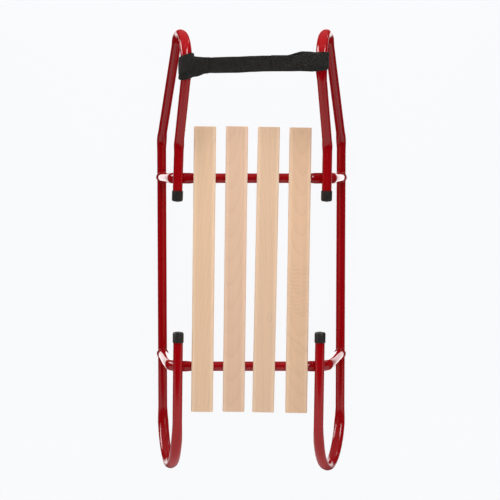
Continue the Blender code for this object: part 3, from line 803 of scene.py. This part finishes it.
class Web:
    """One run of webbing: a path of (inward, up) points, with place and width along it."""

    def __init__(self, side, path, along, width, crumple, closed=False, cut=0.0):
        self.side = side
        self.path = even_path(path, closed)
        self.along = along  # place along the horn, by length from the first point
        self.width = width  # by length from the first point
        self.crumple = crumple
        self.closed = closed
        self.cut = cut  # how far the last end is slanted
        self.lengths = [0.0]
        for first, second in zip(self.path, self.path[1:] + self.path[:1]):
            self.lengths.append(self.lengths[-1] + math.dist(first, second))

    def tangent(self, i):
        last = len(self.path) - 1
        before = self.path[i - 1] if self.closed or i > 0 else self.path[0]
        after = self.path[(i + 1) % len(self.path)] if self.closed or i < last else self.path[-1]
        return Vector((after[0] - before[0], after[1] - before[1])).normalized()

    def point(self, i, across, height):
        """A point beside station i: across from -1 to 1, height above the webbing's middle layer."""
        inward, up = self.path[i]
        tangent = self.tangent(i)
        length = self.lengths[i]
        offset = self.along(length) - SETBACK + across * self.width(length) / 2
        middle = strap_place(self.side, inward, up, offset)
        for share, wavelength in CRUMPLES:
            height += share * self.crumple * noise.noise(middle / wavelength)
        slant = self.cut * across * smooth_step(i / len(self.path), 0.5, 1.0)
        place_in = inward - tangent.y * height + tangent.x * slant
        place_up = up + tangent.x * height + tangent.y * slant
        return strap_place(self.side, place_in, place_up, offset)

    def build(self, bm, uv, section):
        """Adds the run's mesh and returns its first ring, which is left open unless the run is closed."""
        rings = []
        for i in range(len(self.path)):
            points = [self.point(i, across, up * WEB_THICKNESS / 2) for across, up in section]
            rings.append([bm.verts.new(point) for point in points])
        for i in range(len(rings) if self.closed else len(rings) - 1):
            faces = join_rings(bm, rings[i], rings[(i + 1) % len(rings)])
            for k, face in enumerate(faces):
                after = (k + 1) % len(section)
                corners = ((i, k), (i, after), (i + 1, after), (i + 1, k))
                for loop, (station, corner) in zip(face.loops, corners):
                    loop[uv].uv = (self.lengths[station], section[corner][0] * WEB_WIDTH / 2)
        if not self.closed:
            close_end(bm, uv, rings[-1], section)
        return rings[0]


def close_end(bm, uv, ring, section):
    """Fills a cut end of the webbing with quads between its two faces."""
    top = ring[: WEB_COLUMNS + 1]
    half = len(ring) // 2
    bottom = ring[half : half + WEB_COLUMNS + 1][::-1]
    patches = [(top[i], top[i + 1], bottom[i + 1], bottom[i]) for i in range(WEB_COLUMNS)]
    patches.append((top[-1], *ring[WEB_COLUMNS + 1 : half], bottom[-1]))
    patches.append((bottom[0], *ring[half + WEB_COLUMNS + 1 :], top[0]))
    for corners in patches:
        face = bm.faces.new(corners)
        for loop in face.loops:
            loop[uv].uv = (0.0, section[ring.index(loop.vert)][0] * WEB_WIDTH / 2)


def stops(*pairs):
    """A function that follows (place, value) stops given in millimetres."""
    scaled = [(place * MM, value * MM) for place, value in pairs]
    return lambda length: between(length, scaled)


def left_half():
    """From the strap's middle to the left horn, round it, and back to a tail under the band."""
    start = (half_span(LEFT), 0.0)
    tangent = math.degrees(math.acos(TUBE_LAYER / CHOKE_REACH))
    loop = arc(LEFT, TUBE_LAYER, tangent, 360 - tangent)
    path = [start, (CHOKE_REACH, 0.0)] + loop + [(CHOKE_REACH, -LAYER), (CHOKE_TAIL, -LAYER)]
    along = stops((0, -0.45), (30, -1.75), (77, -2.6), (91, -2.4), (112, -1.75), (142, -3.0), (175, -2.6))
    width = stops((0, 26.3), (30, 26.7), (62, 26.2), (75, 25.2), (92, 26.2))
    return Web(LEFT, path, along, width, crumple=0.05 * MM)


def right_half():
    """From the strap's middle under the right horn, round it, and back over the band to the seam."""
    start = (half_span(RIGHT), 0.0)
    tangent = math.degrees(math.acos(LOOP_BORE / (LOOP_REACH + LOOP_SLACK)))
    loop = arc(RIGHT, LOOP_BORE, -tangent, tangent - 360, -LOOP_SLACK)
    path = [start, (LOOP_REACH, 0.0)] + loop + [(LOOP_REACH, LAYER), (LOOP_SEAM, LAYER)]
    along = stops(
        (0, -0.45), (16, 0.2), (49, 0.4), (83, 7.2), (97, 8.8),
        (112, 10.6), (127, 6.6), (142, 3.2), (165, 2.0), (195, 0.5),
    )
    return Web(RIGHT, path, along, stops((0, 26.3), (50, 25.9), (90, 26.6)), crumple=0.08 * MM)


def full_width(_):
    return WEB_WIDTH


def choke_turn(layers, middle, slant, crumple):
    """One closed, slanted turn of the bunched choke round the left horn."""
    radius = TUBE_LAYER + layers * ROW_LAYER

    def along(length):
        return middle + slant * math.cos(length / radius)

    return Web(LEFT, arc(LEFT, radius, 0, 360)[:-1], along, full_width, crumple, closed=True)


def choke_fan():
    """The choke's fanned end, which lies on the band."""
    along = stops((0, -6.8), (8, -6.0), (26, -2.6))
    return Web(LEFT, list(FAN_PATH), along, full_width, crumple=0.35 * MM, cut=FAN_SLANT)


def make_strap(finish):
    """The strap as one mesh; returns the two runs that are sewn."""
    bm = bmesh.new()
    uv = bm.loops.layers.uv.new("weave")
    section = web_section()
    right, fan = right_half(), choke_fan()
    first, second = left_half().build(bm, uv, section), right.build(bm, uv, section)
    bmesh.ops.weld_verts(bm, targetmap=dict(zip(first, second)))
    for turn in CHOKE_TURNS:
        choke_turn(*turn).build(bm, uv, section)
    close_end(bm, uv, fan.build(bm, uv, section), section)
    strap = new_piece("pull_strap", bm, finish)
    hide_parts("pull_strap_left", "pull_strap_right")
    bend_in_middle(strap)
    return right, fan


def bend_in_middle(piece):
    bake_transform(piece)


def add_stitch(bm, centre, direction, upward):
    """One sewn stitch: a short thread that dips into the webbing at both ends."""
    sideways = direction.cross(upward).normalized()
    rings = []
    for share in (-1.0, -0.6, 0.0, 0.6, 1.0):
        radius = THREAD_RADIUS * math.sqrt(max(0.05, 1 - share**4))
        middle = centre + direction * (share * STITCH_LENGTH / 2) - upward * (STITCH_DIP * share**2)
        rings.append(add_ring(bm, middle, radius, sideways, upward, THREAD_CORNERS))
    for first, second in zip(rings, rings[1:]):
        join_rings(bm, first, second)
    bm.faces.new(rings[0])
    bm.faces.new(rings[-1])


def sew(bm, web, outline, lift):
    """Stitches along an outline of (length along the run, across) points, lift above its middle layer."""

    def surface(length, across, height):
        station = min(range(len(web.path)), key=lambda i: abs(web.lengths[i] - length))
        after = web.lengths[station] < length
        beside = min(station + 1, len(web.path) - 1) if after else max(station - 1, 0)
        span = web.lengths[beside] - web.lengths[station]
        share = (length - web.lengths[station]) / span if span else 0.0
        return web.point(station, across, height).lerp(web.point(beside, across, height), share)

    for (l0, a0), (l1, a1) in zip(outline, outline[1:]):
        distance = math.hypot(l1 - l0, (a1 - a0) * WEB_WIDTH / 2)
        count = max(1, round(distance / STITCH_PITCH))
        for i in range(count):
            share = (i + 0.5) / count
            length, across = l0 + (l1 - l0) * share, a0 + (a1 - a0) * share
            centre = surface(length, across, lift)
            aim = STITCH_AIM / count
            ahead = surface(length + (l1 - l0) * aim, across + (a1 - a0) * aim, lift)
            upward = (centre - surface(length, across, lift / 2)).normalized()
            add_stitch(bm, centre, (ahead - centre).normalized(), upward)


def box_outline(start, end, half_width):
    """A sewn box with its two diagonals, as one line of thread."""
    near, far = (start, -half_width), (start, half_width)
    near_end, far_end = (end, -half_width), (end, half_width)
    return [near, far, far_end, near_end, near, far_end, far, near_end]


def end_box(web, inset, length, half_width):
    """The sewn box near a run's last end."""
    start = web.lengths[len(web.path) - 1] - inset
    return box_outline(start, start - length, half_width)


def make_stitching(finish, right, fan):
    """Box stitching between the layers of the right loop's seam, on its underside and on the fan's top."""
    bm = bmesh.new()
    seam = box_outline(half_span(RIGHT) - LOOP_SEAM + BOX_INSET, SEAM_END, BOX_HALF_WIDTH)
    sew(bm, right, end_box(right, BOX_INSET, BOX_LENGTH, BOX_HALF_WIDTH), -STITCH_LIFT)
    sew(bm, right, seam, STITCH_LIFT)
    sew(bm, fan, end_box(fan, FAN_BOX_INSET, FAN_BOX_LENGTH, FAN_BOX_HALF_WIDTH), STITCH_LIFT)
    stitching = new_piece("strap_stitching", bm, finish)
    bend_in_middle(stitching)


# ---------------------------------------------------------------- stage


def plane(name, half_size):
    bm = bmesh.new()
    bmesh.ops.create_grid(bm, x_segments=1, y_segments=1, size=half_size)
    mesh = bpy.data.meshes.new(name)
    bm.to_mesh(mesh)
    bm.free()
    made = bpy.data.objects.new(name, mesh)
    bpy.context.scene.collection.objects.link(made)
    return made


def make_floor():
    """A large pale floor that stays pale right up to the sled, with a soft contact shadow."""
    floor = plane("floor", FLOOR_HALF_SIZE)
    floor.location.z = -FLOOR_DROP
    finish, n = new_material("pale_floor")
    glow = n.add("Emission", {"Color": PALE, "Strength": FLOOR_GLOW}).outputs[0]
    matt = n.add("BsdfDiffuse", {"Color": tuple(FLOOR_SHADOW * c for c in PALE)}).outputs[0]
    both = n.add("AddShader", {0: glow, 1: matt}).outputs[0]
    n.add("OutputMaterial", {"Surface": both})
    floor.data.materials.append(finish)
    floor.visible_glossy = False


def make_card():
    """A white card standing just behind the sled, out of the camera's sight."""
    card = plane("white_card", CARD_WIDTH / 2)
    card.location = (0, CAD_BOX[0].y - CARD_DISTANCE, CARD_WIDTH / 2)
    card.rotation_euler = (math.pi / 2, 0, 0)
    finish, n = new_material("white_card")
    place = n.add("NewGeometry").outputs["Position"]
    fade = n.step(n.split(place)[2], CARD_FADE[1], CARD_FADE[0])
    for word in SIDE_WORDS.values():
        tube = frame["nodes"][word + "_side_tube"].data
        tail = min((vertex.co for vertex in tube.vertices), key=lambda co: co.y)
        offset = n.vector("SUBTRACT", place, (tail.x, card.location.y, tail.z))
        distance = n.add("VectorMath", {0: offset}, operation="LENGTH").outputs["Value"]
        shadow = n.math("MULTIPLY", n.step(distance, TAIL_SHADOW, 0.0), TAIL_SHADOW_DEPTH)
        fade = n.math("MULTIPLY", fade, n.math("SUBTRACT", 1.0, shadow))
    in_gloss = n.add("LightPath").outputs["Is Glossy Ray"]
    level = n.math("MULTIPLY_ADD", in_gloss, CARD_GLOW - CARD_LIGHT, CARD_LIGHT)
    glow = n.add("Emission", {"Strength": n.math("MULTIPLY", fade, level)}).outputs[0]
    n.add("OutputMaterial", {"Surface": glow})
    card.data.materials.append(finish)
    card.visible_camera = False
    card.visible_shadow = False


def make_world():
    """A pale studio: a soft dome for the matt surfaces, a white ground and two strip lights in the gloss."""
    world = bpy.data.worlds.new("studio")
    world.use_nodes = True
    bpy.context.scene.world = world
    n = Nodes(world.node_tree)
    direction = n.add("TexCoord").outputs["Generated"]
    x, y, z = n.split(direction)
    below = n.math("MULTIPLY", n.step(z, *UNDER_RANGE), GLOSS_UNDER)
    ahead = n.math("MULTIPLY", n.step(y, *AHEAD_RANGE), GLOSS_AHEAD)
    gloss = n.math("MAXIMUM", n.math("MAXIMUM", below, ahead), GLOSS_DARK)
    above = n.step(z, *STRIP_FOOT)
    for x_range, y_range in STRIPS:
        strip = n.math(
            "MULTIPLY", n.window(x, *x_range, STRIP_SOFT_X), n.window(y, *y_range, STRIP_SOFT_Y)
        )
        strip = n.math("MULTIPLY", strip, above)
        gloss = n.math("MULTIPLY_ADD", strip, STRIP_POWER, gloss)
    low_sides = n.math("MULTIPLY", n.math("POWER", n.math("ABSOLUTE", x), 4.0), DOME_SIDES)
    dome = n.math("ADD", n.math("MULTIPLY_ADD", y, DOME_SLOPE, DOME_POWER), low_sides)
    rays = n.add("LightPath").outputs
    seen = n.add("Background", {"Color": PALE}).outputs[0]
    shiny = n.add("Background", {"Color": NO_TINT, "Strength": gloss}).outputs[0]
    matt = n.add("Background", {"Color": DOME_TINT, "Strength": dome}).outputs[0]
    light = n.add("MixShader", {0: rays["Is Glossy Ray"], 1: matt, 2: shiny}).outputs[0]
    both = n.add("MixShader", {0: rays["Is Camera Ray"], 1: light, 2: seen}).outputs[0]
    n.add("OutputWorld", {"Surface": both})


def add_area_light(name, place, target, size, power):
    data = bpy.data.lights.new(name, "AREA")
    data.shape = "RECTANGLE"
    data.size, data.size_y = size
    data.energy = power
    lamp = bpy.data.objects.new(name, data)
    lamp.location = place
    lamp.rotation_euler = (Vector(target) - Vector(place)).to_track_quat("-Z", "Y").to_euler()
    lamp.visible_glossy = False
    lamp.visible_camera = False
    bpy.context.scene.collection.objects.link(lamp)


def make_camera():
    data = bpy.data.cameras.new("camera")
    data.lens = CAMERA_LENS
    data.clip_end = CAMERA_REACH
    camera = bpy.data.objects.new("camera", data)
    camera.location = CAMERA_PLACE
    camera.rotation_euler = (CAMERA_TILT, 0, 0)
    bpy.context.scene.collection.objects.link(camera)
    bpy.context.scene.camera = camera


def make_studio():
    make_floor()
    make_card()
    make_world()
    add_area_light("key_light", KEY_PLACE, KEY_TARGET, KEY_SIZE, KEY_POWER)
    below = (*DECK_LIGHT_PLACE[:2], 0.0)
    add_area_light("deck_light", DECK_LIGHT_PLACE, below, DECK_LIGHT_SIZE, DECK_LIGHT_POWER)
    make_camera()
    bpy.context.scene.view_settings.view_transform = "Standard"


def main():
    paint = red_paint()
    dress_frame(paint)
    make_welds(paint)
    right, fan = make_strap(webbing())
    make_stitching(thread(), right, fan)
    make_studio()


main()
